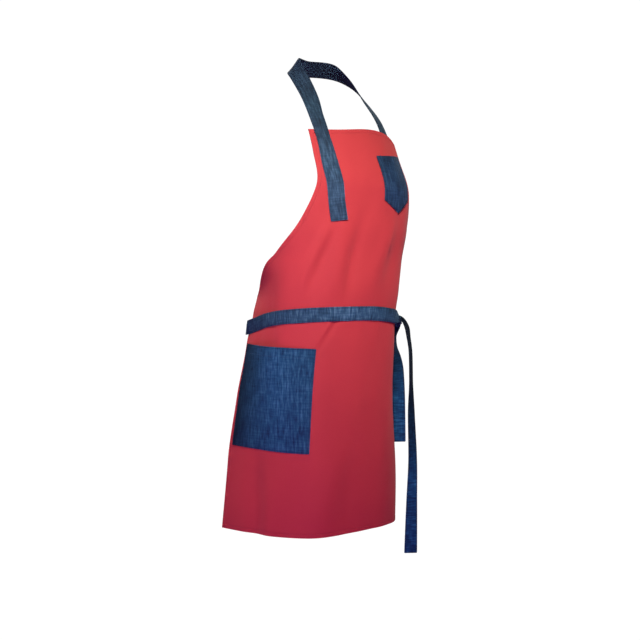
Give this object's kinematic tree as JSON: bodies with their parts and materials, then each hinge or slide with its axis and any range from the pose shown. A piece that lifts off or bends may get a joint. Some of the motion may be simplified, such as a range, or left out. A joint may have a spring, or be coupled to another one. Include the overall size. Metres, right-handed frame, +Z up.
{
  "type": "kitchen apron",
  "caption": "Bib apron in its worn form: red cotton panel, denim neck strap, patch pockets and a waist tie knotted at the front left.",
  "frame": {"origin": "middle of the neck strap at the nape of the neck, where the apron hangs", "axes": "+Z up, -Y to the wearer's front, +X to the wearer's left"},
  "size_m": [0.3303, 0.3005, 0.9915],
  "materials": {
    "red_cotton": "plain woven cotton twill, matt, with turned and stitched hems",
    "navy_denim": "indigo denim with uneven vertical slub threads, matt"
  },
  "bodies": {
    "root": {"apron_panel": "red_cotton", "neck_strap": "navy_denim", "chest_pocket": "navy_denim", "hip_pocket": "navy_denim", "waist_tie_left": "navy_denim", "waist_tie_right": "navy_denim", "tie_knot": "navy_denim", "tie_tail_short": "navy_denim", "tie_tail_long": "navy_denim"}
  },
  "joints": []
}
